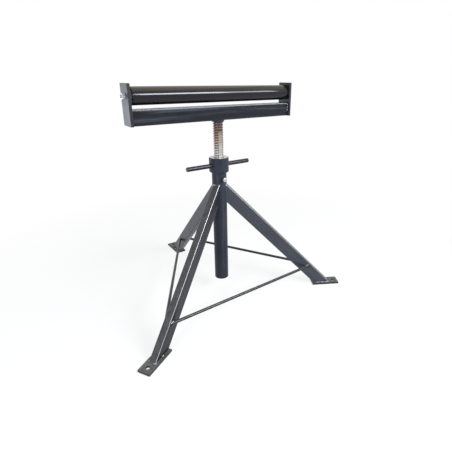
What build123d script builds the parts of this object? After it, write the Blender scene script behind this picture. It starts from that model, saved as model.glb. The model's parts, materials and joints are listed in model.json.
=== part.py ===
from build123d import *

import math
import os

# Tripod roller stand with a screw jack under its roller head.
# Lengths are in millimetres and angles in degrees.
# +Z is up and X runs along the roller. The origin is on the column's axis, on the floor.
# The head stands part of the way up its travel.

os.makedirs("parts", exist_ok=True)

# Angles and counts used throughout
full_turn = 360.0
hexagon_sides = 6
hexagon_turn = full_turn / hexagon_sides / 2

# Clearances and the overrun of every cut
weld_gap = 0.2
press_clearance = 0.05
running_clearance = 0.1
free_clearance = 0.3
cut_overrun = 5.0

# Column
column_diameter = 60.3
column_wall = 5.0
column_base_height = 65.0
column_length = 492.0
column_edge_chamfer = 1.0

# Legs of rectangular hollow section, spread evenly round the column
leg_count = 3
leg_depth = 55.0
leg_width = 30.0
leg_wall = 3.0
leg_corner_radius = 5.0
leg_slope = 46.0
leg_top_drop = 53.5

# Foot plates under the legs
foot_length = 125.0
foot_width = 50.0
foot_thickness = 8.0
foot_overhang = 44.351
foot_hole_diameter = 14.0
foot_hole_inset = 23.0

# Round bars between the legs
brace_diameter = 12.0
brace_height = 97.0
brace_lift = 10.0

# Guide bush in the column, and the guide screw whose end lies against the spindle's flat
bush_length = 80.0
bush_drop = 47.0
screw_drop = 27.0
screw_diameter = 10.0
screw_head_flats = 16.0
screw_head_height = 6.4
screw_nut_height = 10.0

# Spindle
spindle_diameter = 40.0
spindle_reach = 500.0
spindle_chamfer = 3.0
shoulder_diameter = 50.0
shoulder_height = 6.0
flat_depth = 3.3
flat_top_drop = 40.0
flat_end_margin = 20.0

# Adjusting nut and its two bars
nut_diameter = 80.0
nut_height = 60.0
nut_chamfer = 2.0
nut_spigot_length = 18.0
bar_diameter = 18.0
bar_reach = 145.0
bar_seat_depth = 16.0
bar_height_share = 0.455
bar_chamfer = 1.5

# Roller head
lift_at_rest = 146.0
beam_width = 50.0
beam_height = 54.0
beam_wall = 4.0
beam_corner_radius = 6.0
head_length = 700.0
plate_width = 70.0
plate_height = 136.0
plate_thickness = 10.0
axle_height_in_head = 96.0

# Roller
roller_diameter = 60.3
roller_wall = 5.0
roller_end_gap = 8.0
roller_edge_chamfer = 1.0
bearing_inset = 4.0

# Deep-groove bearings with seven balls each
bearing_outer_diameter = 52.0
bearing_bore = 20.0
bearing_width = 15.0
outer_land_diameter = 42.5
inner_land_diameter = 29.5
ball_diameter = 9.525
ball_count = 7
ball_sides = 8
ball_clearance = 0.2
cage_wall = 1.6
cage_width = 11.0
seal_thickness = 1.2
seal_inset = 0.3

# Axle, its spacers and its end nuts
axle_diameter = 25.0
axle_thread_diameter = 12.0
axle_thread_end = 5.0
spacer_diameter = 27.0
hex_nut_flats = 19.0
hex_nut_height = 10.0

# Heights and radii that follow from the sizes above
column_radius = column_diameter / 2
column_inner_radius = column_radius - column_wall
column_top = column_base_height + column_length
spindle_radius = spindle_diameter / 2
nut_base = column_top + running_clearance
nut_top = nut_base + nut_height
beam_base = nut_top + lift_at_rest
beam_top = beam_base + beam_height
axle_height = beam_base + axle_height_in_head
screw_height = column_top - screw_drop
leg_top = column_top - leg_top_drop
leg_run = (leg_top - foot_thickness) / math.tan(math.radians(leg_slope))
foot_reach = column_radius + leg_run + foot_overhang
roller_radius = roller_diameter / 2
roller_inner_radius = roller_radius - roller_wall
plate_inner_x = head_length / 2 - plate_thickness
roller_end_x = plate_inner_x - roller_end_gap
bearing_outer_x = roller_end_x - bearing_inset
bearing_inner_x = bearing_outer_x - bearing_width
ball_pitch_radius = (outer_land_diameter + inner_land_diameter) / 4
ball_turn = full_turn / ball_sides / 2
ball_flat_radius = ball_diameter / 2 * math.cos(math.radians(ball_turn))
flat_distance = spindle_radius - flat_depth
back_leg_azimuth = 90.0
screw_azimuth = back_leg_azimuth + full_turn / 2

sides = {"left": -1, "right": 1}
leg_azimuths = {
    "back": back_leg_azimuth,
    "left": back_leg_azimuth + full_turn / leg_count,
    "right": back_leg_azimuth - full_turn / leg_count,
}


def outward(azimuth):
    """Unit vector that points away from the column at an azimuth."""
    angle = math.radians(azimuth)
    return Vector(math.cos(angle), math.sin(angle), 0)


def save(piece, name):
    """Labels a finished piece and writes it."""
    piece.label = name
    export_step(piece, f"parts/{name}.step")


def make_column():
    """Column tube with a hole for the guide screw near its mouth."""
    with BuildPart() as column:
        with BuildSketch(Plane.XY.offset(column_base_height)):
            Circle(column_radius)
            Circle(column_inner_radius, mode=Mode.SUBTRACT)
        extrude(amount=column_length)
        mouth = column.edges().filter_by(GeomType.CIRCLE).group_by(Axis.Z)[-1]
        chamfer(mouth.sort_by(SortBy.RADIUS)[-1], column_edge_chamfer)
        with BuildSketch(screw_plane()):
            Circle(screw_diameter / 2 + press_clearance)
        extrude(amount=column_radius + cut_overrun, mode=Mode.SUBTRACT)
    save(column.part, "column_tube")


def screw_plane():
    """Plane across the guide screw's axis, facing out of the column."""
    direction = outward(screw_azimuth)
    return Plane(origin=(0, 0, screw_height), x_dir=(0, 0, 1), z_dir=direction)


def leg_plane(azimuth):
    """Plane across a leg where its centre line meets the column's axis, facing down the leg."""
    slope = math.radians(leg_slope)
    away = outward(azimuth)
    down_leg = away * math.cos(slope) - Vector(0, 0, 1) * math.sin(slope)
    sideways = Vector(0, 0, 1).cross(away)
    centre_radius = column_radius - leg_depth / 2 * math.sin(slope)
    centre_height = leg_top - leg_depth / 2 * math.cos(slope)
    start = Vector(0, 0, centre_height + centre_radius * math.tan(slope))
    return Plane(origin=start, x_dir=sideways, z_dir=down_leg)


def make_leg(side, azimuth):
    """Hollow leg, cut level on its foot plate and notched round the column."""
    plane = leg_plane(azimuth)
    length = plane.origin.Z / math.sin(math.radians(leg_slope)) + leg_depth
    with BuildPart() as leg:
        with BuildSketch(plane):
            RectangleRounded(leg_width, leg_depth, leg_corner_radius)
            Rectangle(leg_width - 2 * leg_wall, leg_depth - 2 * leg_wall, mode=Mode.SUBTRACT)
        extrude(amount=length)
        split(bisect_by=Plane.XY.offset(foot_thickness), keep=Keep.TOP)
        with BuildSketch(Plane.XY):
            Circle(column_radius + weld_gap)
        extrude(amount=column_top + cut_overrun, mode=Mode.SUBTRACT)
    save(leg.part, f"leg_{side}")


def make_foot(side, azimuth):
    """Foot plate with one bolt hole outside the leg."""
    away = outward(azimuth)
    centre = away * (foot_reach - foot_length / 2)
    with BuildPart() as foot:
        with BuildSketch(Plane(origin=centre, x_dir=away, z_dir=(0, 0, 1))):
            Rectangle(foot_length, foot_width)
            with Locations((foot_length / 2 - foot_hole_inset, 0)):
                Circle(foot_hole_diameter / 2, mode=Mode.SUBTRACT)
        extrude(amount=foot_thickness)
    save(foot.part, f"foot_{side}")


def make_brace(name, first, second):
    """Round bar between two legs, cut to lie against their facing sides."""
    slope = math.radians(leg_slope)
    centre_drop = leg_depth / 2 / math.cos(slope)
    lift = brace_lift / math.cos(slope)
    radius = column_radius + (leg_top - centre_drop + lift - brace_height) / math.tan(slope)
    height = Vector(0, 0, brace_height)
    across = (outward(second) - outward(first)).normalized()
    first_side = Vector(0, 0, 1).cross(outward(first))
    if first_side.dot(across) < 0:
        first_side = first_side * -1
    second_side = Vector(0, 0, 1).cross(outward(second))
    if second_side.dot(across) > 0:
        second_side = second_side * -1
    half_width = leg_width / 2 + weld_gap
    start = outward(first) * radius + first_side * half_width + height
    end = outward(second) * radius + second_side * half_width + height
    middle = (start + end) / 2
    with BuildPart() as brace:
        with BuildSketch(Plane(origin=middle, x_dir=(0, 0, 1), z_dir=across)):
            Circle(brace_diameter / 2)
        extrude(amount=(end - start).length / 2 + leg_width, both=True)
        split(bisect_by=Plane(origin=start, z_dir=first_side), keep=Keep.TOP)
        split(bisect_by=Plane(origin=end, z_dir=second_side), keep=Keep.TOP)
    save(brace.part, name)


def make_guide_bush():
    """Bush pressed into the column below the guide screw, bored to guide the spindle."""
    with BuildPart() as bush:
        with BuildSketch(Plane.XY.offset(column_top - bush_drop - bush_length)):
            Circle(column_inner_radius - press_clearance)
            Circle(spindle_radius + running_clearance, mode=Mode.SUBTRACT)
        extrude(amount=bush_length)
    save(bush.part, "guide_bush")


def make_screw_nut():
    """Hexagon nut that carries the guide screw's thread, saddled on the column."""
    with BuildPart() as nut:
        with BuildSketch(screw_plane()):
            RegularPolygon(screw_head_flats / 2, hexagon_sides, major_radius=False, rotation=hexagon_turn)
            Circle(screw_diameter / 2 + press_clearance, mode=Mode.SUBTRACT)
        extrude(amount=column_radius + screw_nut_height)
        with BuildSketch(Plane.XY):
            Circle(column_radius + weld_gap)
        extrude(amount=column_top + cut_overrun, mode=Mode.SUBTRACT)
    save(nut.part, "screw_nut")


def make_guide_screw():
    """Hexagon screw whose end lies against the spindle's flat, so the spindle can't turn."""
    plane = screw_plane()
    shank_start = flat_distance + free_clearance
    head_start = column_radius + screw_nut_height
    with BuildPart() as screw:
        with BuildSketch(plane.offset(shank_start)):
            Circle(screw_diameter / 2)
        extrude(amount=head_start - shank_start)
        with BuildSketch(plane.offset(head_start)):
            RegularPolygon(screw_head_flats / 2, hexagon_sides, major_radius=False, rotation=hexagon_turn)
        extrude(amount=screw_head_height)
    save(screw.part, "guide_screw")


def make_spindle():
    """Jack spindle with a milled flat and a shoulder under the beam, standing in it up to its top wall."""
    bottom = beam_base - spindle_reach
    top = beam_top - beam_wall
    flat_top = beam_base - flat_top_drop
    flat_bottom = bottom + flat_end_margin
    direction = outward(screw_azimuth)
    flat_centre = direction * flat_distance + Vector(0, 0, (flat_top + flat_bottom) / 2)
    with BuildPart() as spindle:
        with BuildSketch(Plane.XY.offset(bottom)):
            Circle(spindle_radius)
        extrude(amount=top - bottom)
        chamfer(spindle.edges().filter_by(GeomType.CIRCLE).group_by(Axis.Z)[0], spindle_chamfer)
        with BuildSketch(Plane.XY.offset(beam_base - shoulder_height)):
            Circle(shoulder_diameter / 2)
        extrude(amount=shoulder_height)
        with BuildSketch(Plane(origin=flat_centre, x_dir=(0, 0, 1), z_dir=direction)):
            Rectangle(flat_top - flat_bottom, spindle_diameter)
        extrude(amount=flat_depth + cut_overrun, mode=Mode.SUBTRACT)
    save(spindle.part, "spindle")


def bar_height():
    """Height of the two bars' axis."""
    return nut_base + nut_height * bar_height_share


def make_adjusting_nut():
    """Round nut with a spigot in the column and a blind seat on each side for a bar."""
    bore = spindle_radius + running_clearance
    spigot = column_inner_radius - free_clearance
    with BuildPart() as nut:
        with BuildSketch(Plane.YZ):
            with BuildLine():
                Polyline(
                    (bore, nut_top),
                    (nut_diameter / 2 - nut_chamfer, nut_top),
                    (nut_diameter / 2, nut_top - nut_chamfer),
                    (nut_diameter / 2, nut_base + nut_chamfer),
                    (nut_diameter / 2 - nut_chamfer, nut_base),
                    (spigot, nut_base),
                    (spigot, nut_base - nut_spigot_length),
                    (bore, nut_base - nut_spigot_length),
                    close=True,
                )
            make_face()
        revolve(axis=Axis.Z)
        for side in sides.values():
            seat = Vector(side * (nut_diameter / 2 - bar_seat_depth), 0, bar_height())
            with BuildSketch(Plane(origin=seat, z_dir=(side, 0, 0))):
                Circle(bar_diameter / 2 + press_clearance)
            extrude(amount=bar_seat_depth + cut_overrun, mode=Mode.SUBTRACT)
    save(nut.part, "adjusting_nut")


def make_tommy_bars():
    """Two round bars that turn the nut, seated in its opposite sides."""
    start = nut_diameter / 2 - bar_seat_depth
    with BuildPart() as bars:
        for sign in sides.values():
            origin = Vector(sign * start, 0, bar_height())
            with BuildSketch(Plane(origin=origin, z_dir=(sign, 0, 0))):
                Circle(bar_diameter / 2)
            extrude(amount=bar_reach - start)
        tips = bars.edges().filter_by(GeomType.CIRCLE).group_by(Axis.X)
        chamfer(tips[0] + tips[-1], bar_chamfer)
    save(bars.part, "tommy_bars")


def make_beam():
    """Hollow beam between the end plates, with a round seat for the spindle from below up to its top wall."""
    with BuildPart() as beam:
        with BuildSketch(Plane.YZ.offset(-plate_inner_x)):
            with Locations((0, beam_base + beam_height / 2)):
                RectangleRounded(beam_width, beam_height, beam_corner_radius)
                RectangleRounded(
                    beam_width - 2 * beam_wall,
                    beam_height - 2 * beam_wall,
                    beam_corner_radius - beam_wall,
                    mode=Mode.SUBTRACT,
                )
        extrude(amount=2 * plate_inner_x)
        with BuildSketch(Plane.XY.offset(beam_base - cut_overrun)):
            Circle(spindle_radius + press_clearance)
        extrude(amount=cut_overrun + beam_height - beam_wall, mode=Mode.SUBTRACT)
    save(beam.part, "beam")


def make_end_plate(side):
    """Flat bar welded to the beam's end, with the axle's hole above."""
    inner_face = Plane(origin=(sides[side] * plate_inner_x, 0, 0), x_dir=(0, 1, 0), z_dir=(sides[side], 0, 0))
    up = inner_face.y_dir.Z
    with BuildPart() as plate:
        with BuildSketch(inner_face):
            with Locations((0, up * (beam_base + plate_height / 2))):
                Rectangle(plate_width, plate_height)
            with Locations((0, up * axle_height)):
                Circle(axle_thread_diameter / 2 + free_clearance, mode=Mode.SUBTRACT)
        extrude(amount=plate_thickness)
    save(plate.part, f"end_plate_{side}")


def axle_section():
    """Plane through the axle's line, with x along it and y up."""
    return Plane(origin=(0, 0, axle_height), x_dir=(1, 0, 0), z_dir=(0, -1, 0))


def axle_line():
    """The axle's centre line."""
    return Axis((0, 0, axle_height), (1, 0, 0))


def turned(profiles, name):
    """Turns closed profiles of (distance along X, radius) points about the axle's line."""
    with BuildPart() as piece:
        for profile in profiles:
            with BuildSketch(axle_section()):
                with BuildLine():
                    Polyline(*profile, close=True)
                make_face()
            revolve(axis=axle_line())
    save(piece.part, name)


def make_axle():
    """Stepped axle: thick between the bearings, bearing seats, and threaded ends."""
    end_x = head_length / 2 + hex_nut_height + axle_thread_end
    thread_radius = axle_thread_diameter / 2
    seat_radius = bearing_bore / 2 - press_clearance
    half = [
        (end_x, 0),
        (end_x, thread_radius),
        (plate_inner_x, thread_radius),
        (plate_inner_x, seat_radius),
        (bearing_inner_x, seat_radius),
        (bearing_inner_x, axle_diameter / 2),
    ]
    mirrored = [(-x, radius) for x, radius in reversed(half)]
    turned([half + mirrored], "axle")


def make_spacers():
    """Two sleeves that set the bearings off the end plates."""
    inner = bearing_bore / 2
    outer = spacer_diameter / 2
    profiles = [
        [
            (sign * bearing_outer_x, inner),
            (sign * bearing_outer_x, outer),
            (sign * plate_inner_x, outer),
            (sign * plate_inner_x, inner),
        ]
        for sign in sides.values()
    ]
    turned(profiles, "spacers")


def make_axle_nuts():
    """Two hexagon nuts on the axle's threaded ends."""
    with BuildPart() as nuts:
        for sign in sides.values():
            base = Vector(sign * head_length / 2, 0, axle_height)
            with BuildSketch(Plane(origin=base, x_dir=(0, 1, 0), z_dir=(sign, 0, 0))):
                RegularPolygon(hex_nut_flats / 2, hexagon_sides, major_radius=False)
                Circle(axle_thread_diameter / 2 + press_clearance, mode=Mode.SUBTRACT)
            extrude(amount=hex_nut_height)
    save(nuts.part, "axle_nuts")


def make_roller_tube():
    """Roller tube, bored out at each end for its bearing."""
    seat = bearing_outer_diameter / 2 + press_clearance
    half = [
        (roller_end_x, seat),
        (roller_end_x, roller_radius - roller_edge_chamfer),
        (roller_end_x - roller_edge_chamfer, roller_radius),
    ]
    bore = [
        (-bearing_inner_x, seat),
        (-bearing_inner_x, roller_inner_radius),
        (bearing_inner_x, roller_inner_radius),
        (bearing_inner_x, seat),
    ]
    mirrored = [(-x, radius) for x, radius in reversed(half)]
    turned([half + mirrored + bore], "roller_tube")


def bearing_middle(side):
    """Middle plane of a bearing, along X."""
    return sides[side] * (bearing_outer_x - bearing_width / 2)


def make_bearing_rings(name, seat_radius, land_radius):
    """One ring of each bearing, with a groove for the balls cut in its land."""
    half = bearing_width / 2
    groove = ball_flat_radius + ball_clearance
    with BuildPart() as rings:
        for side in sides:
            middle = bearing_middle(side)
            with BuildSketch(axle_section()):
                with Locations((middle, (seat_radius + land_radius) / 2)):
                    Rectangle(bearing_width, abs(seat_radius - land_radius))
                with Locations(Location((middle, ball_pitch_radius), ball_turn)):
                    RegularPolygon(groove, ball_sides, major_radius=False, mode=Mode.SUBTRACT)
            revolve(axis=axle_line())
    save(rings.part, name)


def make_seals():
    """Sealing disc on each bearing's outward side, held in the outer ring, clear of the inner ring."""
    with BuildPart() as seals:
        for sign in sides.values():
            outer_face = sign * (bearing_outer_x - seal_inset)
            with BuildSketch(Plane(origin=(outer_face, 0, axle_height), z_dir=(sign, 0, 0))):
                Circle(outer_land_diameter / 2)
                Circle(inner_land_diameter / 2 + free_clearance, mode=Mode.SUBTRACT)
            extrude(amount=-seal_thickness)
    save(seals.part, "bearing_seals")


def make_ball():
    """One ball, cut with flat faces, at the origin."""
    radius = ball_diameter / 2
    with BuildPart() as ball:
        with BuildSketch(Plane.XY):
            RegularPolygon(radius, ball_sides, rotation=ball_turn)
        extrude(amount=radius, both=True)
        for plane in (Plane.YZ, Plane.XZ):
            with BuildSketch(plane):
                RegularPolygon(radius, ball_sides, rotation=ball_turn)
            extrude(amount=radius, both=True, mode=Mode.INTERSECT)
    return ball.part


def bearing_plane(side):
    """Plane across a bearing's middle."""
    return Plane(origin=(bearing_middle(side), 0, axle_height), x_dir=(0, 0, 1), z_dir=(1, 0, 0))


def make_balls(side):
    """One bearing's balls."""
    ball = make_ball()
    with BuildPart(bearing_plane(side)) as balls:
        with PolarLocations(ball_pitch_radius, ball_count):
            add(ball)
    save(balls.part, f"bearing_balls_{side}")


def make_cage(side):
    """Cage ring with one window for each ball, two of its sides to a ball."""
    plane = bearing_plane(side)
    cage_sides = 2 * ball_count
    turn = full_turn / cage_sides / 2
    window = ball_flat_radius + ball_clearance
    with BuildPart() as cage:
        with BuildSketch(plane):
            RegularPolygon(ball_pitch_radius + cage_wall / 2, cage_sides, major_radius=False, rotation=turn)
            RegularPolygon(
                ball_pitch_radius - cage_wall / 2,
                cage_sides,
                major_radius=False,
                rotation=turn,
                mode=Mode.SUBTRACT,
            )
        extrude(amount=cage_width / 2, both=True)
        for place in PolarLocations(ball_pitch_radius, ball_count).local_locations:
            direction = (plane * place).position - plane.origin
            with BuildSketch(Plane(origin=plane.origin, x_dir=(1, 0, 0), z_dir=direction)):
                RegularPolygon(window, ball_sides, major_radius=False, rotation=ball_turn)
            extrude(amount=ball_pitch_radius + 2 * cage_wall, mode=Mode.SUBTRACT)
    save(cage.part, f"bearing_cage_{side}")


make_column()
for side, azimuth in leg_azimuths.items():
    make_leg(side, azimuth)
    make_foot(side, azimuth)
make_brace("brace_front", leg_azimuths["left"], leg_azimuths["right"])
make_brace("brace_left", leg_azimuths["back"], leg_azimuths["left"])
make_brace("brace_right", leg_azimuths["right"], leg_azimuths["back"])
make_guide_bush()
make_screw_nut()
make_guide_screw()

make_adjusting_nut()
make_tommy_bars()

make_spindle()
make_beam()
make_axle()
make_spacers()
make_axle_nuts()
make_roller_tube()
make_bearing_rings("bearing_outer_rings", bearing_outer_diameter / 2, outer_land_diameter / 2)
make_bearing_rings("bearing_inner_rings", bearing_bore / 2, inner_land_diameter / 2)
make_seals()
for side in sides:
    make_end_plate(side)
    make_balls(side)
    make_cage(side)
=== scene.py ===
import json
import math
import random

import bmesh
import bpy
from mathutils import Matrix, Vector

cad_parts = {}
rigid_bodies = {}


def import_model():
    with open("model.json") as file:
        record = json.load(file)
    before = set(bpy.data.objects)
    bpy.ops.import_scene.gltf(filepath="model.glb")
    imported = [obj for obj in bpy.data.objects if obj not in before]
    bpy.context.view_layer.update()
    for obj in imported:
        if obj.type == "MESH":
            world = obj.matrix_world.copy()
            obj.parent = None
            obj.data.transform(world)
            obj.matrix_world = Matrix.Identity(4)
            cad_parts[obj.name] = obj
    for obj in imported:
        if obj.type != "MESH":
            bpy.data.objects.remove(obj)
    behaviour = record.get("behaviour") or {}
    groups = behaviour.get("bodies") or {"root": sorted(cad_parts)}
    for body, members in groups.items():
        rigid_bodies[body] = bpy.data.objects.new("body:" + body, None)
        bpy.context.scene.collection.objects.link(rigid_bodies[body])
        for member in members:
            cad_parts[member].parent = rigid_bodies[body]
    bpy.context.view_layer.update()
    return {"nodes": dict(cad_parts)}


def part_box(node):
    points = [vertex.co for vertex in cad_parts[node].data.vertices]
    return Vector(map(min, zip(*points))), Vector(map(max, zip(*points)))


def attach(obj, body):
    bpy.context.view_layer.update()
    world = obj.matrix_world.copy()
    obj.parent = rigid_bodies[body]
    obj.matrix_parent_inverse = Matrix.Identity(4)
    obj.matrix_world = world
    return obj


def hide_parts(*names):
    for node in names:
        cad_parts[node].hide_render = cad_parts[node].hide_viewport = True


# Dressing for a tripod roller stand. Lengths are in metres, and the stand's are millimetres times MM.
# Z is up and X runs along the roller. The origin is on the column's axis, on the floor.

for leftover in list(bpy.data.objects):
    bpy.data.objects.remove(leftover)

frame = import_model()

MM = 0.001
FULL_TURN = 2 * math.pi
SIDES = {"left": -1, "right": 1}
UP = Vector((0, 0, 1))


def low(node):
    """Lowest corner of a CAD node."""
    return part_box(node)[0]


def high(node):
    """Highest corner of a CAD node."""
    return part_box(node)[1]


# Column, legs and braces. leg_top is where a leg's upper face meets the column, and brace_lift is how far
# above a leg's middle line, square to it, the braces end.
column_radius = high("column_tube").x
column_top = high("column_tube").z
leg_top = column_top - 53.5 * MM
leg_depth = 55 * MM
leg_width = 30 * MM
leg_corner = 5 * MM
leg_slope = math.radians(46)
leg_azimuths = {"back": math.radians(90), "left": math.radians(210), "right": math.radians(-30)}
foot_thickness = high("foot_back").z
brace_radius = 6 * MM
brace_height = (low("brace_front").z + high("brace_front").z) / 2
brace_lift = 10 * MM
brace_ends = {"front": ("left", "right"), "left": ("back", "left"), "right": ("right", "back")}
plate_round = 0.8 * MM

# Spindle, with a flat along most of it
spindle_radius = 20 * MM
spindle_root = 16.9 * MM
spindle_pitch = 10 * MM
spindle_chamfer = 3 * MM
spindle_bottom = low("spindle").z
spindle_top = high("spindle").z
beam_base = low("beam").z
beam_half = 25 * MM
shoulder_radius = 25 * MM
shoulder_height = 6 * MM
shoulder_round = 2 * MM
flat_distance = 15.4 * MM
flat_half = 9.5 * MM
flat_top = beam_base - 40 * MM
flat_bottom = spindle_bottom + 20 * MM

# Adjusting nut and its bars
nut_radius = high("adjusting_nut").x
nut_top = high("adjusting_nut").z
nut_base = nut_top - 60 * MM
nut_chamfer = 2 * MM
nut_bore = 20.1 * MM
bore_chamfer = 1.5 * MM
spigot_bottom = low("adjusting_nut").z
spigot_radius = 24.85 * MM
bar_radius = 9 * MM
bar_round = 1.5 * MM
bar_start = 24 * MM
bar_reach = high("tommy_bars").x
bar_height = (low("tommy_bars").z + high("tommy_bars").z) / 2

# Roller, axle and bearings
axle_height = (low("axle").z + high("axle").z) / 2
axle_end = high("axle").x
plate_inner = low("end_plate_right").x
plate_outer = high("end_plate_right").x
beam_top = high("beam").z
beam_corner = 6 * MM
roller_end = high("roller_tube").x
roller_radius = (high("roller_tube").z - low("roller_tube").z) / 2
roller_round = 1 * MM
roller_bore = 25.15 * MM
bearing_seat = 26.05 * MM
bearing_outer = high("bearing_inner_rings").x
bearing_inner = bearing_outer - 15 * MM
bearing_middle = (bearing_outer + bearing_inner) / 2
ball_pitch_radius = 18 * MM
ball_radius = 4.3 * MM
ball_count = 7
axle_radius = 12.5 * MM
axle_seat = 9.95 * MM
axle_thread = 6 * MM
axle_thread_root = 5 * MM
axle_pitch = 1.75 * MM
axle_chamfer = 1.1 * MM
axle_nut_flats = 19 * MM
axle_nut_end = high("axle_nuts").x
thread_clearance = 0.1 * MM

# Guide screw and the nut that carries it
screw_height = (low("guide_screw").z + high("guide_screw").z) / 2
screw_flats = 16 * MM
screw_shank = 5 * MM
screw_tip = -high("guide_screw").y
screw_seat = 27.5 * MM
screw_head = -low("screw_nut").y
screw_end = -low("guide_screw").y

# One turn of a thread: (share of the pitch, share of the depth that is left)
TRAPEZOID = ((0.0, 1.0), (0.36, 1.0), (0.5, 0.0), (0.86, 0.0))
METRIC = ((0.0, 1.0), (0.12, 1.0), (0.45, 0.0), (0.67, 0.0))

# Weld beads: their radii, first random seeds, and the shares of their length that are bright bare metal,
# partly painted glints
column_weld = 2.4 * MM
foot_weld = 2.2 * MM
brace_weld = 1.7 * MM
bar_weld = 1.5 * MM
plate_weld = 2.3 * MM
plate_weld_start = 3 * MM
leg_seed = 10
brace_seed = 30
bar_seed = 40
plate_seed = 70
bare_glint_at_column = [(0.09, 0.20)]
bare_glint_at_foot = [(0.02, 0.05), (0.17, 0.24), (0.27, 0.35), (0.38, 0.45), (0.55, 0.57), (0.81, 0.84)]
bare_glint_at_brace = [(0.15, 0.40)]
bare_glint_at_plate = [(0.12, 0.15), (0.195, 0.225), (0.275, 0.305)]

# Surface of a bead: distance between rings, and how its size varies from ring to ring and at open ends
bead_spacing = 1.7 * MM
bead_sides = 8
bead_ripple = 0.16
bead_ripple_step = 1.9
bead_unevenness = 0.08
bead_tip = 0.4

# Mesh making
merge_distance = MM / 1000
smooth_limit = math.radians(32)
bevel_limit = math.radians(50)
corner_steps = 3


# Shapes
def axis_frame(origin, direction):
    """Matrix whose z runs along a direction from an origin."""
    turn = UP.rotation_difference(Vector(direction)).to_matrix().to_4x4()
    return Matrix.Translation(Vector(origin)) @ turn


def circle(radius, count, height=0.0):
    """Points evenly round the z axis."""
    angles = [FULL_TURN * step / count for step in range(count)]
    return [Vector((radius * math.cos(angle), radius * math.sin(angle), height)) for angle in angles]


def ring_of(mesh, place, along, radius, segments):
    """A circle of vertices, or a single one where the radius is zero."""
    points = circle(radius, segments, along) if radius else [Vector((0, 0, along))]
    return [mesh.verts.new(place @ point) for point in points]


def join_rings(mesh, first, second, index=0):
    """Faces between two rings, or between a ring and a point."""
    count = max(len(first), len(second))
    for step in range(count):
        after = (step + 1) % count
        if len(first) == 1:
            corners = [first[0], second[after], second[step]]
        elif len(second) == 1:
            corners = [first[step], first[after], second[0]]
        else:
            corners = [first[step], first[after], second[after], second[step]]
        mesh.faces.new(corners).material_index = index


def lathe(mesh, place, profile, segments=96, indices=None):
    """Turns (distance along, radius) points about the place's z. A profile off the axis closes on itself.

    indices gives a material number for each step of the profile.
    """
    rings = [ring_of(mesh, place, along, radius, segments) for along, radius in profile]
    if profile[0][1] > 0:
        rings.append(rings[0])
    for step, (first, second) in enumerate(zip(rings, rings[1:])):
        join_rings(mesh, first, second, indices[step] if indices else 0)


def rounded(profile, corners, radius):
    """A profile with the corners at some of its points turned into arcs."""
    steps = 4
    made = []
    for number, spot in enumerate(profile):
        if number not in corners:
            made.append(spot)
            continue
        here = Vector(spot)
        before = (Vector(profile[number - 1]) - here).normalized() * radius
        after = (Vector(profile[(number + 1) % len(profile)]) - here).normalized() * radius
        for step in range(steps + 1):
            share = step / steps
            made.append(tuple(here + before * (1 - share) ** 2 + after * share ** 2))
    return made


def threaded_rod(mesh, place, start, end, crest, root, pitch, form, chamfer, segments=48):
    """Closed rod with a helical thread, its ends chamfered to about the thread's root.

    form is one turn of the thread, as TRAPEZOID is.
    """
    turns = math.ceil((end - start) / pitch) + 2
    rows = []
    for step in range((turns + 1) * segments + 1):
        angle = FULL_TURN * step / segments
        row = []
        for share, left in form:
            along = start + pitch * (step / segments + share - 1)
            along = min(max(along, start), end)
            radius = root + (crest - root) * left
            radius = min(radius, crest - chamfer + min(along - start, end - along))
            spot = Vector((radius * math.cos(angle), radius * math.sin(angle), along))
            row.append(mesh.verts.new(place @ spot))
        rows.append(row)
    made = [vertex for row in rows for vertex in row]
    for step in range(turns * segments):
        near, far = rows[step], rows[step + 1]
        above = near[1:] + [rows[step + segments][0]]
        beyond = far[1:] + [rows[step + segments + 1][0]]
        for corners in zip(near, far, beyond, above):
            mesh.faces.new(corners)
    bmesh.ops.remove_doubles(mesh, verts=made, dist=merge_distance)
    bmesh.ops.delete(mesh, geom=[vertex for vertex in mesh.verts if not vertex.link_faces], context="VERTS")
    bmesh.ops.holes_fill(mesh, edges=[edge for edge in mesh.edges if edge.is_boundary], sides=0)


def hexagon(mesh, place, flats, height, hole=0.0):
    """Hexagon nut or head, its outer corners turned away in a cone, with a hole where one is given."""
    points_per_side = 8
    count = 6 * points_per_side
    level_share = 0.95
    rim = flats / 2 * level_share
    cone_slope = math.tan(math.radians(30))
    base, edge, crown, hole_base, hole_crown = [], [], [], [], []
    for step, unit in enumerate(circle(1, count)):
        turned = FULL_TURN * step / count % (FULL_TURN / 6) - FULL_TURN / 12
        radius = flats / 2 / math.cos(turned)
        cone_height = height - (radius - rim) * cone_slope
        base.append(mesh.verts.new(place @ (unit * radius)))
        edge.append(mesh.verts.new(place @ (unit * radius + UP * cone_height)))
        crown.append(mesh.verts.new(place @ (unit * rim + UP * height)))
        if hole:
            hole_base.append(mesh.verts.new(place @ (unit * hole)))
            hole_crown.append(mesh.verts.new(place @ (unit * hole + UP * height)))
    join_rings(mesh, base, edge)
    join_rings(mesh, edge, crown)
    if hole:
        join_rings(mesh, crown, hole_crown)
        join_rings(mesh, hole_crown, hole_base)
        join_rings(mesh, hole_base, base)
    else:
        mesh.faces.new(crown)
        mesh.faces.new(base[::-1])


def spaced(path, closed):
    """Points at about the beads' spacing along a path."""
    spots = []
    for first, second in zip(path, path[1:]):
        count = max(1, round((second - first).length / bead_spacing))
        spots += [first.lerp(second, step / count) for step in range(count)]
    if not closed:
        spots.append(path[-1])
    return spots


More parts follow.
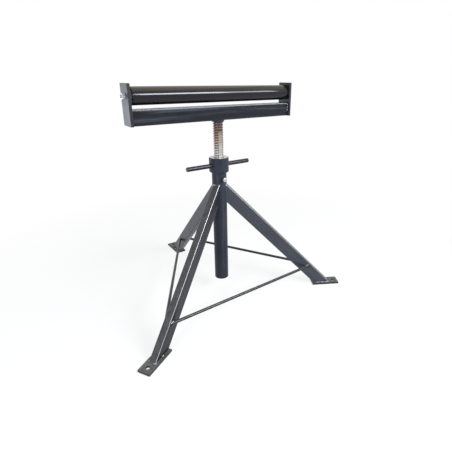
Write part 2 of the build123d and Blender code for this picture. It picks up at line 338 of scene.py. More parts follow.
def bead(mesh, points, radius, seed, closed=True, bare=()):
    """Weld bead: a rippled tube along a path, with bright bare metal, partly a painted glint, between some
    shares of its length.
    """
    chance = random.Random(seed)
    path = [Vector(point) for point in points]
    if closed:
        path.append(path[0])
    spots = spaced(path, closed)
    last = len(spots) - 1
    across = (spots[1] - spots[0]).orthogonal()
    unit = circle(1, bead_sides)
    rings = []
    for number, spot in enumerate(spots):
        before = spots[number - 1] if closed else spots[max(number - 1, 0)]
        after = spots[(number + 1) % len(spots)] if closed else spots[min(number + 1, last)]
        along = (after - before).normalized()
        across = (across - along * across.dot(along)).normalized()
        other = along.cross(across)
        ripple = bead_ripple * math.sin(number * bead_ripple_step)
        size = radius * (1 + ripple + chance.uniform(-bead_unevenness, bead_unevenness))
        if not closed and number in (0, last):
            size *= bead_tip
        rings.append([mesh.verts.new(spot + (across * turn.x + other * turn.y) * size) for turn in unit])
    if closed:
        rings.append(rings[0])
    for number, (first, second) in enumerate(zip(rings, rings[1:])):
        share = number / len(rings)
        join_rings(mesh, first, second, int(any(start <= share <= end for start, end in bare)))
    if not closed:
        mesh.faces.new(rings[0][::-1])
        mesh.faces.new(rings[-1])


def finish_piece(name, mesh, body, materials, replaced=()):
    """Makes an object of a bmesh, puts it on its body and hides the CAD parts it replaces."""
    bmesh.ops.recalc_face_normals(mesh, faces=mesh.faces)
    data = bpy.data.meshes.new(name)
    mesh.to_mesh(data)
    mesh.free()
    for material in materials:
        data.materials.append(material)
    data.polygons.foreach_set("use_smooth", [True] * len(data.polygons))
    data.set_sharp_from_angle(angle=smooth_limit)
    piece = bpy.data.objects.new(name, data)
    bpy.context.scene.collection.objects.link(piece)
    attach(piece, body)
    if replaced:
        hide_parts(*replaced)


# Where the legs run
def away_from_column(azimuth):
    """Level unit vector out from the column."""
    return Vector((math.cos(azimuth), math.sin(azimuth), 0))


def leg_direction(azimuth):
    """Unit vector down a leg."""
    return away_from_column(azimuth) * math.cos(leg_slope) - UP * math.sin(leg_slope)


def leg_normal(azimuth):
    """Unit vector out of a leg's upper face."""
    return away_from_column(azimuth) * math.sin(leg_slope) + UP * math.cos(leg_slope)


def leg_section(azimuth, lit_corner_sign):
    """A leg's two directions across its section, each with the section's middle and half size along it.

    The first points to the side where the painted corner highlight is brightest. Seen from above, the last
    argument is 1 where that is the anticlockwise one round the column, and -1 where it is the other.
    """
    away = away_from_column(azimuth)
    normal = leg_normal(azimuth)
    top = away * column_radius + UP * leg_top
    return [
        (UP.cross(away) * lit_corner_sign, 0.0, leg_width / 2),
        (normal, top.dot(normal) - leg_depth / 2, leg_depth / 2),
    ]


def leg_point(azimuth, across, depth, reach):
    """Point on a leg, from its place across the width and depth and its distance down the leg."""
    away = away_from_column(azimuth)
    middle_radius = column_radius - leg_depth / 2 * math.sin(leg_slope)
    middle_height = leg_top - leg_depth / 2 * math.cos(leg_slope)
    start = UP * (middle_height + middle_radius * math.tan(leg_slope))
    offset = UP.cross(away) * across
    return start + offset + leg_normal(azimuth) * depth + leg_direction(azimuth) * reach


def leg_outline():
    """Places round a leg's rounded section, across its width and depth."""
    points = []
    for quarter, (side, top) in enumerate([(1, 1), (-1, 1), (-1, -1), (1, -1)]):
        for step in range(corner_steps + 1):
            angle = FULL_TURN / 4 * (quarter + step / corner_steps)
            across = side * (leg_width / 2 - leg_corner) + leg_corner * math.cos(angle)
            depth = top * (leg_depth / 2 - leg_corner) + leg_corner * math.sin(angle)
            points.append((across, depth))
    return points


# Materials
class Finish:
    """A material around one Principled shader, patterned in the object's own coordinates."""

    def __init__(self, name, **values):
        self.material = bpy.data.materials.new(name)
        self.material.use_nodes = True
        self.nodes = self.material.node_tree.nodes
        self.links = self.material.node_tree.links
        self.shader = self.nodes["Principled BSDF"]
        self.place = self.nodes.new("ShaderNodeTexCoord").outputs["Object"]
        for key, value in values.items():
            self.put(key.replace("_", " ").title().replace("Ior", "IOR"), value)

    def put(self, name, value):
        """Sets or feeds one of the shader's inputs."""
        self.feed(self.shader, {name: value})

    def feed(self, node, inputs):
        """Sets or links several inputs of a node."""
        for key, value in inputs.items():
            if isinstance(value, bpy.types.NodeSocket):
                self.links.new(value, node.inputs[key])
            else:
                node.inputs[key].default_value = value
        return node

    def squeezed(self, along, share):
        """The place scaled along one direction. A pattern runs along it below 1 and across it above 1."""
        turn = Vector(along).rotation_difference(Vector((1, 0, 0))).to_euler()
        turned = self.feed(self.nodes.new("ShaderNodeMapping"), {"Vector": self.place, "Rotation": turn})
        scaled = {"Vector": turned.outputs[0], "Scale": (share, 1, 1)}
        return self.feed(self.nodes.new("ShaderNodeMapping"), scaled).outputs[0]

    def noise(self, scale, detail=4.0, rough=0.55, place=None):
        """Cloudy pattern whose scale is about its number of spots to a metre."""
        node = self.nodes.new("ShaderNodeTexNoise")
        inputs = {"Vector": place or self.place, "Scale": scale, "Detail": detail, "Roughness": rough}
        return self.feed(node, inputs).outputs["Fac"]

    def span(self, value, low_in, high_in, low_out=0.0, high_out=1.0):
        """A value's range stretched to another, and cut off at its ends."""
        node = self.nodes.new("ShaderNodeMapRange")
        ends_in = {"From Min": low_in, "From Max": high_in}
        ends_out = {"To Min": low_out, "To Max": high_out}
        return self.feed(node, {"Value": value, **ends_in, **ends_out}).outputs["Result"]

    def maths(self, operation, first, second=0.0):
        """One step of arithmetic."""
        node = self.nodes.new("ShaderNodeMath")
        node.operation = operation
        return self.feed(node, {0: first, 1: second}).outputs[0]

    def product(self, value, *others):
        """Several values multiplied."""
        for other in others:
            value = self.maths("MULTIPLY", value, other)
        return value

    def vector_maths(self, operation, first, second=(0, 0, 0)):
        """A number made of one or two vectors."""
        node = self.nodes.new("ShaderNodeVectorMath")
        node.operation = operation
        return self.feed(node, {0: first, 1: second}).outputs["Value"]

    def ramp(self, value, *stops):
        """Colour that changes with a value, from (position, colour) stops."""
        node = self.nodes.new("ShaderNodeValToRGB")
        elements = node.color_ramp.elements
        while len(elements) < len(stops):
            elements.new(0.5)
        for element, (position, colour) in zip(elements, stops):
            element.position = position
            element.color = (*colour, 1)
        return self.feed(node, {"Fac": value}).outputs["Color"]

    def mix(self, factor, first, second):
        """From the first colour to the second as the factor rises."""
        pairs = {"Fac": factor, "Color1": first, "Color2": second}
        pairs = {key: (*value, 1) if isinstance(value, tuple) else value for key, value in pairs.items()}
        return self.feed(self.nodes.new("ShaderNodeMixRGB"), pairs).outputs[0]

    def axes(self):
        """The place's three coordinates."""
        return self.feed(self.nodes.new("ShaderNodeSeparateXYZ"), {0: self.place}).outputs

    def facing_up(self):
        """1 where the surface faces up, 0 where it stands upright, -1 where it faces down."""
        normal = self.nodes.new("ShaderNodeNewGeometry").outputs["Normal"]
        return self.feed(self.nodes.new("ShaderNodeSeparateXYZ"), {0: normal}).outputs["Z"]

    def along(self, direction):
        """Distance of the place from the origin along a direction."""
        return self.vector_maths("DOT_PRODUCT", self.place, tuple(direction))

    def on_corners(self, section, start, full):
        """1 on a box section's rounded corners, 0 on its flats, from (direction, middle, half size) twice.

        It rises from start to full, which are distances from the section's outside.
        """
        shares = []
        for direction, middle, half in section:
            distance = self.maths("ABSOLUTE", self.maths("SUBTRACT", self.along(direction), middle))
            shares.append(self.span(distance, half - start, half - full))
        return self.product(*shares)

    def near_edge(self, radius):
        """1 at sharp edges, fading to 0 within a small distance."""
        bevel = self.nodes.new("ShaderNodeBevel")
        bevel.samples = 4
        bevel.inputs["Radius"].default_value = radius
        normal = self.nodes.new("ShaderNodeNewGeometry").outputs["True Normal"]
        return self.span(self.vector_maths("DOT_PRODUCT", bevel.outputs[0], normal), 1.0, 0.8)

    def mottled_roughness(self, scale, lowest, highest, detail=4.0):
        """Roughness that wanders between two values."""
        self.put("Roughness", self.span(self.noise(scale, detail), 0.3, 0.7, lowest, highest))

    def bump(self, height, strength, distance):
        """Small relief from a pattern."""
        node = self.nodes.new("ShaderNodeBump")
        self.feed(node, {"Height": height, "Strength": strength, "Distance": distance})
        self.put("Normal", node.outputs["Normal"])


# Colours and reliefs of the materials
paint_shades = ((0.008, 0.010, 0.015), (0.015, 0.018, 0.025))
streak_colour = (0.045, 0.051, 0.066)
dust_colour = (0.22, 0.20, 0.18)
chip_colour = (0.16, 0.16, 0.17)
# Colour of the painted highlight along box corners.
ridge_highlight_colour = (0.50, 0.51, 0.54)
# Olive of the roller's upper half, a painted reflection of a warm ceiling.
painted_reflection_olive = (0.20, 0.145, 0.035)
grime_colour = (0.050, 0.026, 0.018)
mark_colour = (0.21, 0.165, 0.13)
chip_width = 1.2 * MM
paint_relief = 0.15 * MM
fine_relief = 0.1 * MM
spindle_relief = 0.12 * MM
roller_relief = 0.04 * MM


def paint(
    name,
    along=(0, 0, 1),
    dust=0.35,
    section=None,
    specular=0.27,
    rough=(0.27, 0.42),
    lit_tone=1.0,
    streaked=0.5,
    ridge_highlight_strength=0.5,
    grain=0.06,
    ridge_highlight_band=(2.6 * MM, 1.7 * MM),
):
    """Satin slate-black paint: mottled, faintly streaked along the part, dusty on top and chipped at edges.

    A part with a box section also gets a painted highlight along its upper corners, lighter and faintly
    metallic, brightest on the side the section names.
    """
    finish = Finish(name, specular_ior_level=specular)
    # This scale makes a copy of the paint lighter or darker to stand for how brightly its part is lit:
    # painted light and shade.
    darker, lighter = [tuple(lit_tone * part for part in shade) for shade in paint_shades]
    base = finish.ramp(finish.noise(7, 5, 0.6), (0.32, darker), (0.7, lighter))
    streaks = finish.noise(90, 4, 0.6, finish.squeezed(along, 0.035))
    base = finish.mix(finish.span(streaks, 0.50, 0.72, 0.0, streaked), base, streak_colour)
    level = finish.span(finish.facing_up(), 0.55, 1.0, 0.0, dust)
    base = finish.mix(finish.product(level, finish.noise(55, 6)), base, dust_colour)
    chips = finish.span(finish.noise(120, 5), 0.5, 0.66)
    base = finish.mix(finish.product(finish.near_edge(chip_width), chips, 0.5), base, chip_colour)
    # Painted highlight along the upper corners, brightest on one side, standing for the corners' sheen.
    if section:
        across, _, half = section[0]
        patches = finish.span(finish.noise(7, 2, 0.5), 0.34, 0.62, 0.9 * ridge_highlight_strength, 1.3 * ridge_highlight_strength)
        corners = finish.on_corners(section, *ridge_highlight_band)
        upper = finish.span(finish.facing_up(), -0.2, 0.1)
        lit_side_share = finish.span(finish.along(across), -half, half, 0.3, 1.0)
        ridge_highlight = finish.product(corners, upper, lit_side_share, patches)
        base = finish.mix(ridge_highlight, base, ridge_highlight_colour)
        finish.put("Metallic", finish.product(ridge_highlight, 0.2))
    finish.put("Base Color", base)
    finish.mottled_roughness(24, *rough, detail=5)
    finish.bump(finish.noise(480, 2, 0.5), grain, paint_relief)
    return finish.material


def bar_finish():
    """Smooth black paint of the two bars, with faint smudges along them."""
    finish = Finish("paint_bars", specular_ior_level=0.34)
    smudge = finish.noise(26, 4, 0.6, finish.squeezed((1, 0, 0), 0.2))
    black = finish.ramp(smudge, (0.3, (0.003, 0.004, 0.007)), (0.75, (0.008, 0.009, 0.014)))
    finish.put("Base Color", black)
    finish.mottled_roughness(60, 0.28, 0.32, detail=3)
    finish.bump(finish.noise(40, 2, 0.5), 0.02, fine_relief)
    return finish.material


def roller_finish():
    """Glossy black tube with faint smudges and scuffs, duller ends and an olive tint on its upper half: a
    painted reflection.
    """
    finish = Finish("roller_black", specular_ior_level=0.35, specular_tint=(0.86, 0.89, 1.0, 1))
    scuffs = finish.noise(40, 3, 0.6, finish.squeezed((1, 0, 0), 14.0))
    smudge = finish.noise(14, 5, 0.6, finish.squeezed((1, 0, 0), 0.3))
    black = finish.ramp(smudge, (0.3, (0.003, 0.003, 0.004)), (0.75, (0.006, 0.005, 0.006)))
    # Olive tint on the upper half: a painted reflection of a warm ceiling.
    upward = finish.facing_up()
    rising = finish.span(upward, 0.36, 0.52, 0.0, 0.12)
    fading = finish.span(upward, 0.55, 0.85, 1.0, 0.1)
    finish.put("Base Color", finish.mix(finish.product(rising, fading), black, painted_reflection_olive))
    smudged = finish.span(smudge, 0.35, 0.7, 0.09, 0.13)
    rough = finish.maths("ADD", smudged, finish.span(scuffs, 0.6, 0.8, 0.0, 0.04))
    reach = finish.maths("ABSOLUTE", finish.axes()["X"])
    ends = finish.span(reach, roller_end - 1.5 * MM, roller_end - 0.5 * MM, 0.0, 0.45)
    finish.put("Roughness", finish.maths("ADD", rough, ends))
    finish.bump(finish.noise(30, 2, 0.5), 0.01, roller_relief)
    return finish.material


def zinc_finish(name, brightness, metallic):
    """Bright zinc plate with a faint yellow and blue cast and small dull spots."""
    finish = Finish(name, metallic=metallic)
    casts = ((0.3, (0.55, 0.56, 0.52)), (0.52, (0.56, 0.58, 0.60)), (0.72, (0.48, 0.51, 0.56)))
    casts = [(position, tuple(brightness * part for part in colour)) for position, colour in casts]
    finish.put("Base Color", finish.ramp(finish.noise(110, 4, 0.6), *casts))
    finish.mottled_roughness(240, 0.24, 0.44)
    finish.bump(finish.noise(500, 3), 0.12, fine_relief)
    return finish.material


def spindle_finish():
    """Steel spindle: brown at the top, brighter downwards, with a lighter milled flat facing -Y."""
    finish = Finish("spindle_steel", metallic=0.65)
    axes = finish.axes()
    wander = finish.span(finish.noise(38, 5, 0.65), 0.3, 0.7, -0.05, 0.05)
    height = finish.maths("ADD", finish.span(axes["Z"], nut_top, beam_base), wander)
    thread = finish.ramp(
        height,
        (0.0, (0.50, 0.48, 0.45)),
        (0.40, (0.33, 0.26, 0.23)),
        (0.70, (0.18, 0.12, 0.11)),
        (1.0, (0.080, 0.066, 0.070)),
    )
    flat = finish.ramp(
        height,
        (0.0, (0.36, 0.37, 0.36)),
        (0.25, (0.34, 0.33, 0.29)),
        (0.50, (0.27, 0.22, 0.17)),
        (0.72, (0.14, 0.10, 0.085)),
    )
    squares = [finish.product(axes[name], axes[name]) for name in ("X", "Y")]
    radius = finish.maths("SQRT", finish.maths("ADD", *squares))
    grooves = finish.span(radius, spindle_root, spindle_radius - 0.8 * MM, 1.0, 0.0)
    grime = finish.product(grooves, finish.span(height, 0.0, 0.8, 0.55, 0.85))
    thread = finish.mix(grime, thread, grime_colour)
    # The limits lie a hair beyond the flat, so that all of it gets its colour.
    outward = finish.maths("LESS_THAN", axes["Y"], -flat_distance + 0.05 * MM)
    below = finish.maths("LESS_THAN", axes["Z"], flat_top + 0.1 * MM)
    marks = finish.span(finish.noise(150, 4, 0.7), 0.47, 0.62, 0.0, 0.6)
    flat = finish.mix(marks, flat, mark_colour)
    finish.put("Base Color", finish.mix(finish.product(outward, below), thread, flat))
    finish.mottled_roughness(90, 0.34, 0.55, detail=5)
    finish.bump(finish.noise(420, 4), 0.2, spindle_relief)
    return finish.material


def turned_steel(name, colour, roughness, ring_scale):
    """Bare turned steel with fine turning rings about the column's axis."""
    finish = Finish(name, metallic=0.9)
    rings = finish.nodes.new("ShaderNodeTexWave")
    rings.wave_type = "RINGS"
    rings.rings_direction = "Z"
    finish.feed(rings, {"Vector": finish.place, "Scale": ring_scale, "Distortion": 0.4, "Detail": 2.0})
    darker = tuple(part * 0.6 for part in colour)
    mottled = finish.ramp(finish.noise(70, 5, 0.65), (0.3, darker), (0.62, colour))
    finish.put("Base Color", mottled)
    finish.mottled_roughness(130, roughness - 0.08, roughness + 0.1)
    finish.bump(rings.outputs["Fac"], 0.15, fine_relief)
    return finish.material


def plain_metal(name, dark, light, roughness, metallic=0.9, scale=90):
    """Metal with mottled colour and gloss."""
    finish = Finish(name, metallic=metallic)
    finish.put("Base Color", finish.ramp(finish.noise(scale, 5, 0.6), (0.3, dark), (0.7, light)))
    finish.mottled_roughness(scale * 2, roughness - 0.07, roughness + 0.1)
    finish.bump(finish.noise(scale * 5, 3), 0.1, fine_relief)
    return finish.material


def rubber_finish():
    """Black sealing rubber with a film of grease."""
    finish = Finish("seal_rubber", specular_ior_level=0.3)
    black = finish.ramp(finish.noise(160, 4), (0.35, (0.012, 0.012, 0.013)), (0.7, (0.035, 0.032, 0.028)))
    finish.put("Base Color", black)
    finish.mottled_roughness(90, 0.5, 0.72)
    finish.bump(finish.noise(700, 3), 0.15, fine_relief)
    return finish.material


# The paint copies differ in tone to stand for parts in more or less light: painted light and shade.
upright_paint = paint("paint_upright", specular=0.14, rough=(0.38, 0.46), lit_tone=1.7)
beam_middle = (beam_base + beam_top) / 2
beam_section = [((0, -1, 0), 0.0, beam_half), ((0, 0, 1), beam_middle, beam_top - beam_middle)]
# The beam's upper corners get a strong painted highlight.
beam_paint = paint(
    "paint_beam",
    along=(1, 0, 0),
    dust=0.05,
    section=beam_section,
    specular=0.18,
    rough=(0.20, 0.32),
    lit_tone=0.6,
    streaked=0.8,
    ridge_highlight_strength=1.0,
    grain=0.010,
    ridge_highlight_band=(3.1 * MM, 1.9 * MM),
)
bar_paint = bar_finish()
plate_look = {"specular": 0.24, "rough": (0.33, 0.39), "streaked": 0.3}
foot_paint = paint("paint_feet", dust=0.8, **plate_look)
flat_paint = paint("paint_plates", dust=0.3, **plate_look)
brace_paint = paint(
    "paint_braces",
    dust=0.3,
    specular=0.32,
    rough=(0.22, 0.26),
    lit_tone=0.8,
    streaked=0.2,
    grain=0.012,
)
# The three legs take one paint at different tones, lighter where a leg is better lit: painted light and
# shade.
leg_looks_as_lit = {
    "back": {"dust": 1.0, "specular": 0.52, "lit_tone": 2.3, "ridge_highlight_strength": 0.5},
    "left": {"dust": 1.3, "specular": 0.27, "lit_tone": 0.85, "ridge_highlight_strength": 0.8},
    "right": {"dust": 1.0, "specular": 0.47, "lit_tone": 1.9, "ridge_highlight_strength": 0.35},
}
# Side of each leg whose upper corner gets the brighter painted highlight.
leg_lit_corners = {"back": 1, "left": 1, "right": -1}
leg_paints = {}
for side, azimuth in leg_azimuths.items():
    section = leg_section(azimuth, leg_lit_corners[side])
    leg_paints[side] = paint(f"paint_leg_{side}", leg_direction(azimuth), section=section, **leg_looks_as_lit[side])
roller_black = roller_finish()
# The axle nuts' zinc is made lighter and the screw's darker, each set to how brightly it is lit: painted
# light and shade.
zinc_plate = zinc_finish("zinc_plate", brightness=1.55, metallic=0.5)
zinc_screw = zinc_finish("zinc_screw", brightness=0.8, metallic=0.9)
spindle_steel = spindle_finish()
raw_steel = turned_steel("raw_steel", (0.60, 0.60, 0.59), roughness=0.38, ring_scale=260)
# The bearing steel is darker than the bright steel: painted shade for the gap between roller and end plate.
bearing_steel = plain_metal("bearing_steel", (0.20, 0.19, 0.17), (0.34, 0.32, 0.29), 0.3)
bright_steel = plain_metal("bright_steel", (0.40, 0.40, 0.39), (0.58, 0.58, 0.57), 0.3)
# Bright weld metal placed where the beads show glints: partly bare metal, partly painted highlight.
bare_weld_glint = plain_metal("bare_weld_glint", (0.26, 0.26, 0.28), (0.48, 0.48, 0.50), 0.45, 0.7, scale=200)
bush_metal = plain_metal("bush_metal", (0.20, 0.19, 0.17), (0.34, 0.33, 0.30), 0.4)
seal_rubber = rubber_finish()


# CAD nodes that stay
def dress(node, material, edge=0.0):
    """Gives a CAD node its material and, where asked, a small rounding on its sharp edges."""
    piece = frame["nodes"][node]
    for entry in piece.material_slots:
        entry.material = material
    if edge:
        piece.modifiers.new("weld", "WELD").merge_threshold = merge_distance
        bevel = piece.modifiers.new("bevel", "BEVEL")
        bevel.width = edge
        bevel.segments = 2
        bevel.limit_method = "ANGLE"
        bevel.angle_limit = bevel_limit


dress("column_tube", upright_paint)
dress("beam", beam_paint)
dress("guide_bush", bush_metal)
dress("spacers", zinc_plate)
dress("bearing_inner_rings", bearing_steel)
dress("bearing_outer_rings", bearing_steel)
dress("bearing_seals", seal_rubber)
for side in leg_azimuths:
    dress(f"leg_{side}", leg_paints[side])
    dress(f"foot_{side}", foot_paint, edge=plate_round)
for name in brace_ends:
    dress(f"brace_{name}", brace_paint)
for side in SIDES:
    dress(f"end_plate_{side}", flat_paint, edge=plate_round)
    dress(f"bearing_cage_{side}", bright_steel)


# Spindle, nut and bars
def make_spindle():
    """Threaded spindle with its milled flat, and the painted shoulder and upper end in the beam."""
    upright = Matrix.Identity(4)
    mesh = bmesh.new()
    threaded_rod(
        mesh,
        upright,
        start=spindle_bottom,
        end=beam_base - shoulder_height / 2,
        crest=spindle_radius,
        root=spindle_root,
        pitch=spindle_pitch,
        form=TRAPEZOID,
        chamfer=spindle_chamfer,
        segments=96,
    )
    for vertex in mesh.verts:
        milled = abs(vertex.co.x) < flat_half and vertex.co.y < -flat_distance
        if milled and flat_bottom < vertex.co.z < flat_top:
            vertex.co.y = -flat_distance
    finish_piece("spindle_screw", mesh, "head", [spindle_steel], ["spindle"])
    mesh = bmesh.new()
    profile = [
        (beam_base - shoulder_height, 0),
        (beam_base - shoulder_height, shoulder_radius),
        (beam_base, shoulder_radius),
        (beam_base, spindle_radius),
        (spindle_top, spindle_radius),
        (spindle_top, 0),
    ]
    lathe(mesh, upright, rounded(profile, [1], shoulder_round))
    finish_piece("spindle_shoulder", mesh, "head", [upright_paint])


def make_nut():
    """Round nut with softened edges, bare metal on top, in its bore and on its spigot."""
    outline = [
        (nut_top - bore_chamfer, nut_bore),
        (nut_top, nut_bore + bore_chamfer),
        (nut_top, nut_radius - nut_chamfer),
        (nut_top - nut_chamfer, nut_radius),
        (nut_base + nut_chamfer, nut_radius),
        (nut_base, nut_radius - nut_chamfer),
        (nut_base, spigot_radius),
        (spigot_bottom, spigot_radius),
        (spigot_bottom, nut_bore),
    ]
    painted, bare = 0, 1
    indices = [bare] * 2 + [painted] * 4 + [bare] * 3
    mesh = bmesh.new()
    lathe(mesh, Matrix.Identity(4), outline, 128, indices)
    finish_piece("nut_body", mesh, "nut", [upright_paint, raw_steel], ["adjusting_nut"])


def make_bars():
    """Two round bars with softened tips, and the bead round each where it enters the nut."""
    mesh = bmesh.new()
    profile = [(bar_start, 0), (bar_start, bar_radius), (bar_reach, bar_radius), (bar_reach, 0)]
    for sign in SIDES.values():
        place = axis_frame((0, 0, bar_height), (sign, 0, 0))
        lathe(mesh, place, rounded(profile, [2], bar_round), 48)
    finish_piece("nut_bars", mesh, "nut", [bar_paint], ["tommy_bars"])
    for side, sign in SIDES.items():
        points = []
        for spot in circle(bar_radius, 36):
            depth = math.sqrt(nut_radius ** 2 - spot.x ** 2)
            points.append((sign * depth, spot.x, bar_height + spot.y))
        mesh = bmesh.new()
        bead(mesh, points, bar_weld, bar_seed + sign)
        finish_piece(f"weld_bar_{side}", mesh, "nut", [upright_paint])


make_spindle()
make_nut()
make_bars()


# Guide screw
def make_guide_screw():
    """Zinc-plated hexagon screw and the painted hexagon nut that carries it."""
    facing = (0, -1, 0)
    mesh = bmesh.new()
    shank = [(screw_tip, 0), (screw_tip, screw_shank), (screw_head, screw_shank), (screw_head, 0)]
    lathe(mesh, axis_frame((0, 0, screw_height), facing), shank, 48)
    hexagon(mesh, axis_frame((0, -screw_head, screw_height), facing), screw_flats, screw_end - screw_head)
    finish_piece("guide_bolt", mesh, "stand", [zinc_screw], ["guide_screw"])
    mesh = bmesh.new()
    seat = axis_frame((0, -screw_seat, screw_height), facing)
    hexagon(mesh, seat, screw_flats, screw_head - screw_seat, hole=screw_shank + thread_clearance)
    finish_piece("guide_nut", mesh, "stand", [upright_paint], ["screw_nut"])


make_guide_screw()


# Roller, axle, its nuts and the bearing balls
def make_roller():
    """Roller tube with softened ends, bored for the bearings."""
    outline = [
        (-roller_end, bearing_seat),
        (-roller_end, roller_radius),
        (roller_end, roller_radius),
        (roller_end, bearing_seat),
        (bearing_inner, bearing_seat),
        (bearing_inner, roller_bore),
        (-bearing_inner, roller_bore),
        (-bearing_inner, bearing_seat),
    ]
    mesh = bmesh.new()
    lathe(mesh, axis_frame((0, 0, axle_height), (1, 0, 0)), rounded(outline, [1, 2], roller_round), 160)
    finish_piece("roller_shell", mesh, "roller", [roller_black], ["roller_tube"])


def make_axle():
    """Stepped axle with threaded ends, and a chamfered nut on each."""
    mesh = bmesh.new()
    half = [
        (plate_inner, 0),
        (plate_inner, axle_seat),
        (bearing_inner, axle_seat),
        (bearing_inner, axle_radius),
    ]
    mirrored = [(-along, radius) for along, radius in reversed(half)]
    lathe(mesh, axis_frame((0, 0, axle_height), (1, 0, 0)), half + mirrored, 64)
    for sign in SIDES.values():
        end = bmesh.new()
        threaded_rod(
            end,
            axis_frame((0, 0, axle_height), (sign, 0, 0)),
            start=plate_inner,
            end=axle_end,
            crest=axle_thread,
            root=axle_thread_root,
            pitch=axle_pitch,
            form=METRIC,
            chamfer=axle_chamfer,
        )
        data = bpy.data.meshes.new("thread")
        end.to_mesh(data)
        end.free()
        mesh.from_mesh(data)
        bpy.data.meshes.remove(data)
    finish_piece("axle_shaft", mesh, "head", [bright_steel], ["axle"])
    mesh = bmesh.new()
    turned = Matrix.Rotation(FULL_TURN / 4, 4, "Z")
    for sign in SIDES.values():
        seat = axis_frame((sign * plate_outer, 0, axle_height), (sign, 0, 0)) @ turned
        height = axle_nut_end - plate_outer
        hexagon(mesh, seat, axle_nut_flats, height, hole=axle_thread + thread_clearance)
    finish_piece("axle_hex_nuts", mesh, "head", [zinc_plate], ["axle_nuts"])


def make_balls(side, sign):
    """One bearing's balls."""
    mesh = bmesh.new()
    for spot in circle(ball_pitch_radius, ball_count):
        place = Matrix.Translation((sign * bearing_middle, -spot.y, axle_height + spot.x))
        bmesh.ops.create_uvsphere(mesh, u_segments=24, v_segments=16, radius=ball_radius, matrix=place)
    node = f"bearing_balls_{side}"
    finish_piece(f"balls_{side}", mesh, f"cage_{side}", [bearing_steel], [node])


make_roller()
make_axle()
for side, sign in SIDES.items():
    make_balls(side, sign)


# Welds
def weld_leg(side, azimuth, seed):
    """Beads where a leg meets the column and its foot plate."""
    at_column, at_foot = [], []
    for across, depth in leg_outline():
        radial = math.sqrt(column_radius ** 2 - across ** 2)
        reach = (radial - depth * math.sin(leg_slope)) / math.cos(leg_slope)
        at_column.append(leg_point(azimuth, across, depth, reach))
        height = leg_point(azimuth, across, depth, 0).z - foot_thickness
        at_foot.append(leg_point(azimuth, across, depth, height / math.sin(leg_slope)))
    mesh = bmesh.new()
    bead(mesh, at_column, column_weld, seed, bare=bare_glint_at_column)
    bead(mesh, at_foot, foot_weld, seed + 1, bare=bare_glint_at_foot)
    finish_piece(f"weld_leg_{side}", mesh, "stand", [leg_paints[side], bare_weld_glint])


def weld_brace(name, ends, seed):
    """Beads where a brace's ends meet the legs' facing sides."""
    drop = leg_depth / 2 / math.cos(leg_slope)
    lift = brace_lift / math.cos(leg_slope)
    reach = column_radius + (leg_top - drop + lift - brace_height) / math.tan(leg_slope)
    first, second = [away_from_column(leg_azimuths[side]) for side in ends]
    across = (second - first).normalized()
    mesh = bmesh.new()
    for away, inward in ((first, across), (second, -across)):
        facing = UP.cross(away)
        facing *= math.copysign(1, facing.dot(inward))
        centre = away * reach + facing * leg_width / 2 + UP * brace_height
        points = []
        for turn in circle(brace_radius, 28):
            spot = UP.cross(inward) * turn.x + UP * turn.y
            points.append(centre + spot - inward * spot.dot(facing) / inward.dot(facing))
        bead(mesh, points, brace_weld, seed, bare=bare_glint_at_brace)
    finish_piece(f"weld_brace_{name}", mesh, "stand", [upright_paint, bare_weld_glint])


def weld_plate(side, sign):
    """Bead up the beam's front, over its top and down its back, against an end plate."""
    path = [(-beam_half, beam_base + plate_weld_start), (-beam_half, beam_top - beam_corner)]
    for step in range(1, corner_steps + 1):
        angle = FULL_TURN / 4 * step / corner_steps
        inset = beam_corner * (1 - math.cos(angle))
        path.append((inset - beam_half, beam_top - beam_corner * (1 - math.sin(angle))))
    path += [(-across, height) for across, height in reversed(path)]
    points = [(sign * plate_inner, across, height) for across, height in path]
    mesh = bmesh.new()
    bead(mesh, points, plate_weld, plate_seed + sign, closed=False, bare=bare_glint_at_plate)
    finish_piece(f"weld_plate_{side}", mesh, "head", [flat_paint, bare_weld_glint])


for number, (side, azimuth) in enumerate(leg_azimuths.items()):
    weld_leg(side, azimuth, leg_seed + 2 * number)
for number, (name, ends) in enumerate(brace_ends.items()):
    weld_brace(name, ends, brace_seed + number)
for side, sign in SIDES.items():
    weld_plate(side, sign)

# Floor and surroundings. Of the floor as seen, white_share is plain white up to shadow_radius, and all of it
# from white_radius on. The rest takes the stand's shadow.
floor_radius = 40
shadow_radius = 0.7
white_radius = 1.6
white_share = 0.80
world_level = 0.30

# Camera, solved from the photograph. Its angles are in degrees.
camera_place = (-0.7172, -1.1785, 0.9162)
camera_heading = -36.57
camera_down = 20.54
camera_roll = 0.36
camera_lens = 27.40
camera_shift = (-0.0522, -0.0421)


# Floor, light and camera
def white_where_seen(tree, shader, share=None):
    """Mixes a shader with white for the rays that see it: camera, glossy and transmission ones.

    The caller links the white to the mix's last input. share is how much of it shows, where that varies.
    """
    rays = tree.nodes.new("ShaderNodeLightPath")
    seen = rays.outputs["Is Camera Ray"]
    steps = [("MAXIMUM", rays.outputs["Is Glossy Ray"]), ("MAXIMUM", rays.outputs["Is Transmission Ray"])]
    if share is not None:
        steps.append(("MULTIPLY", share))
    for operation, value in steps:
        node = tree.nodes.new("ShaderNodeMath")
        node.operation = operation
        tree.links.new(seen, node.inputs[0])
        tree.links.new(value, node.inputs[1])
        seen = node.outputs[0]
    mixed = tree.nodes.new("ShaderNodeMixShader")
    tree.links.new(seen, mixed.inputs[0])
    tree.links.new(shader, mixed.inputs[1])
    return mixed


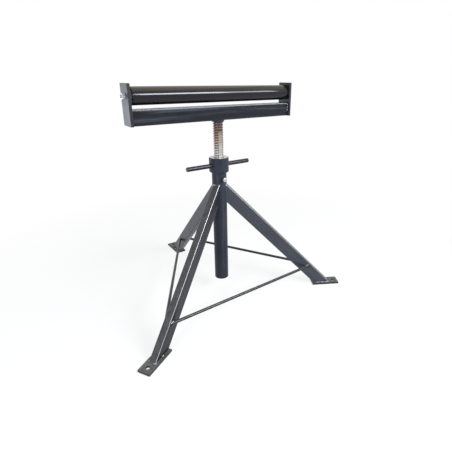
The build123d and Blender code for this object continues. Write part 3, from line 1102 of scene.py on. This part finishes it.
def make_floor():
    """Pale floor that takes the shadow near the stand and runs into white further out."""
    mesh = bmesh.new()
    bmesh.ops.create_circle(mesh, cap_ends=True, segments=96, radius=floor_radius)
    data = bpy.data.meshes.new("floor")
    mesh.to_mesh(data)
    mesh.free()
    floor = bpy.data.objects.new("floor", data)
    bpy.context.scene.collection.objects.link(floor)
    finish = Finish("floor_white", specular_ior_level=0.0, roughness=0.9)
    pale = finish.ramp(finish.noise(6, 4), (0.3, (0.93, 0.93, 0.93)), (0.7, (0.95, 0.95, 0.95)))
    finish.put("Base Color", pale)
    distance = finish.vector_maths("LENGTH", finish.place)
    share = finish.span(distance, shadow_radius, white_radius, white_share, 1.0)
    tree = finish.material.node_tree
    mixed = white_where_seen(tree, finish.shader.outputs[0], share)
    tree.links.new(tree.nodes.new("ShaderNodeEmission").outputs[0], mixed.inputs[2])
    tree.links.new(mixed.outputs[0], tree.nodes["Material Output"].inputs["Surface"])
    data.materials.append(finish.material)


def make_world():
    """Even studio surroundings, white where they are seen."""
    world = bpy.data.worlds.new("studio")
    bpy.context.scene.world = world
    world.use_nodes = True
    tree = world.node_tree
    light = tree.nodes["Background"]
    light.inputs["Color"].default_value = (world_level, world_level, world_level, 1)
    mixed = white_where_seen(tree, light.outputs[0])
    white = tree.nodes.new("ShaderNodeBackground")
    white.inputs["Color"].default_value = (1, 1, 1, 1)
    tree.links.new(white.outputs[0], mixed.inputs[2])
    tree.links.new(mixed.outputs[0], tree.nodes["World Output"].inputs["Surface"])


def make_lamp(name, place, target, size, power, colour=(1, 1, 1)):
    """Rectangular soft light that faces a point. Its size is its width and height."""
    lamp = bpy.data.lights.new(name, "AREA")
    lamp.shape = "RECTANGLE"
    lamp.size, lamp.size_y = size
    lamp.energy = power
    lamp.color = colour
    holder = bpy.data.objects.new(name, lamp)
    bpy.context.scene.collection.objects.link(holder)
    turn = (Vector(target) - Vector(place)).to_track_quat("-Z", "Y").to_matrix().to_4x4()
    holder.matrix_world = Matrix.Translation(place) @ turn


def make_camera():
    """Camera at the photograph's viewing angle."""
    lens = bpy.data.cameras.new("camera")
    lens.sensor_width = 36
    lens.lens = camera_lens
    lens.shift_x, lens.shift_y = camera_shift
    camera = bpy.data.objects.new("camera", lens)
    bpy.context.scene.collection.objects.link(camera)
    heading = Matrix.Rotation(math.radians(camera_heading), 4, "Z")
    tilt = Matrix.Rotation(math.radians(90 - camera_down), 4, "X")
    roll = Matrix.Rotation(math.radians(camera_roll), 4, "Z")
    camera.matrix_world = Matrix.Translation(camera_place) @ heading @ tilt @ roll
    bpy.context.scene.camera = camera


make_floor()
make_world()
make_lamp(
    "window_near",
    place=(0.764, -2.164, 1.66),
    target=(-0.086, -0.164, 0.8),
    size=(1.26, 0.6),
    power=70,
    colour=(0.95, 0.97, 1.0),
)
make_lamp(
    "window_far",
    place=(1.73, -1.754, 1.66),
    target=(0.88, 0.246, 0.8),
    size=(0.84, 0.6),
    power=20,
    colour=(0.93, 0.96, 1.0),
)
make_lamp(
    "slot",
    place=(-1.75, -0.85, 0.75),
    target=(0, 0, 0.45),
    size=(0.22, 1.1),
    power=14,
    colour=(0.80, 0.88, 1.0),
)
make_lamp(
    "left",
    place=(-1.7, 1.9, 0.45),
    target=(-0.2, 0, 0.5),
    size=(1.6, 0.9),
    power=15,
    colour=(0.83, 0.87, 1.0),
)
make_lamp("top", place=(0.4, 0.6, 3.2), target=(0, 0, 0.4), size=(2.5, 2.5), power=20)
make_camera()
bpy.context.scene.view_settings.view_transform = "Standard"
